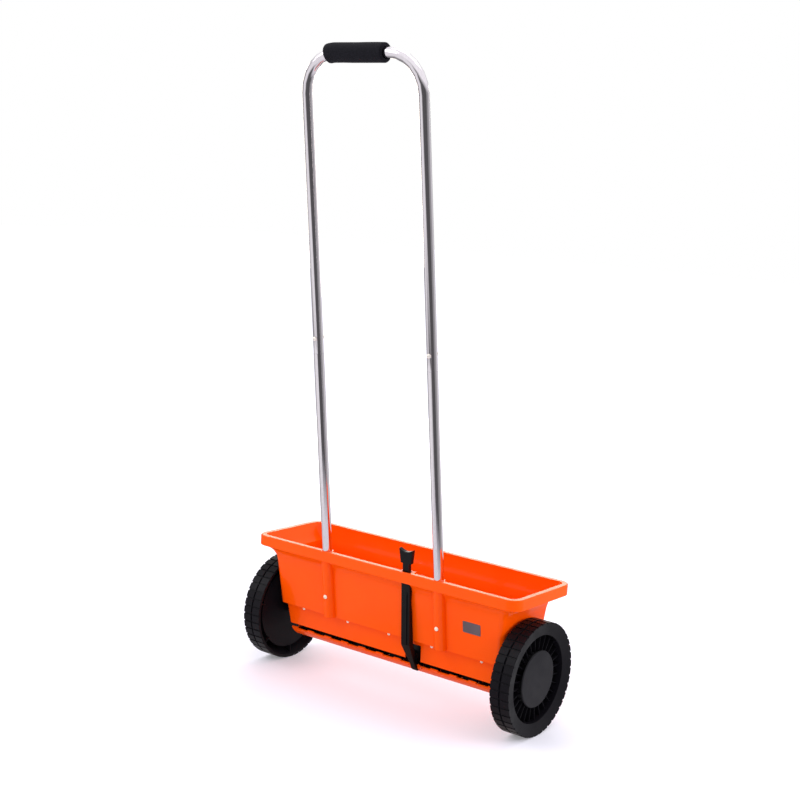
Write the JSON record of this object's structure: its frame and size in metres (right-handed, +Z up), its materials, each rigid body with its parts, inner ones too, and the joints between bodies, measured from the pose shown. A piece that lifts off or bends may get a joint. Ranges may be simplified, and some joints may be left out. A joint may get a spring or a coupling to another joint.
{
  "type": "drop spreader",
  "caption": "Push-along garden drop spreader: orange hopper on treaded wheels, toothed metering roller, swinging gate with a lever through the rim, bright tube handle, foam grip.",
  "frame": {"origin": "on the ground, below the middle of the whole outline", "axes": "+Z up, +X to the right as the user stands, +Y forward, away from the user; the axle runs along X"},
  "size_m": [0.6002, 0.3244, 1.1423],
  "materials": {
    "orange_plastic": "glossy moulded",
    "black_plastic": "satin moulded",
    "wheel_plastic": "satin moulded",
    "cap_plastic": "satin moulded",
    "bright_tube": "polished",
    "zinc_steel": "bright zinc plate",
    "nylon": "natural nylon",
    "foam": "closed-cell foam",
    "wiper_rubber": "matt"
  },
  "bodies": {
    "frame": {"hopper_tub": "orange_plastic", "metering_housing": "orange_plastic", "handle_tube": "bright_tube", "lower_tube_left": "bright_tube", "lower_tube_right": "bright_tube", "boss_screw_left": "zinc_steel", "boss_screw_right": "zinc_steel", "boss_nut_left": "zinc_steel", "boss_nut_right": "zinc_steel", "joint_screw_left": "zinc_steel", "joint_screw_right": "zinc_steel", "joint_nut_left": "zinc_steel", "joint_nut_right": "zinc_steel", "rear_skirt_screw_1": "zinc_steel", "rear_skirt_screw_2": "zinc_steel", "rear_skirt_screw_3": "zinc_steel", "rear_skirt_screw_4": "zinc_steel", "rear_skirt_screw_5": "zinc_steel", "front_skirt_screw_1": "zinc_steel", "front_skirt_screw_2": "zinc_steel", "front_skirt_screw_3": "zinc_steel", "front_skirt_screw_4": "zinc_steel", "front_skirt_screw_5": "zinc_steel", "axle_bush_left": "nylon", "axle_bush_right": "nylon", "foam_grip": "foam", "roller_wiper_rear": "wiper_rubber", "roller_wiper_front": "wiper_rubber"},
    "axle_set": {"axle_rod": "zinc_steel", "metering_roller": "black_plastic", "roller_pin": "zinc_steel", "wheel_left": "wheel_plastic", "hub_cap_left": "cap_plastic", "wheel_drive_pin": "zinc_steel", "wheel_washer_left": "zinc_steel", "wheel_washer_right": "zinc_steel", "wheel_retainer_left": "zinc_steel", "wheel_retainer_right": "zinc_steel"},
    "right_wheel": {"wheel_right": "wheel_plastic", "hub_cap_right": "cap_plastic"},
    "gate": {"metering_gate": "orange_plastic", "gate_pin": "zinc_steel"},
    "lever": {"gate_lever": "black_plastic"}
  },
  "joints": [
    {"name": "axle_spin", "type": "hinge", "parent": "frame", "child": "axle_set", "pos_m": [0, 0.062, 0.1], "axis": [1, 0, 0], "continuous": true},
    {"name": "right_wheel_spin", "type": "hinge", "parent": "axle_set", "child": "right_wheel", "pos_m": [0.281, 0.062, 0.1], "axis": [1, 0, 0], "continuous": true},
    {"name": "gate_swing", "type": "hinge", "parent": "frame", "child": "gate", "pos_m": [0, 0.062, 0.1], "axis": [1, 0, 0], "range_deg": [-14, 0]},
    {"name": "lever_pivot", "type": "hinge", "parent": "gate", "child": "lever", "pos_m": [0.057, 0.02753, 0.07107], "axis": [1, 0, 0], "range_deg": [0, 12.5]}
  ],
  "couplings": [
    {"joint": "lever_pivot", "follows": "gate_swing", "ratio": -0.88}
  ]
}
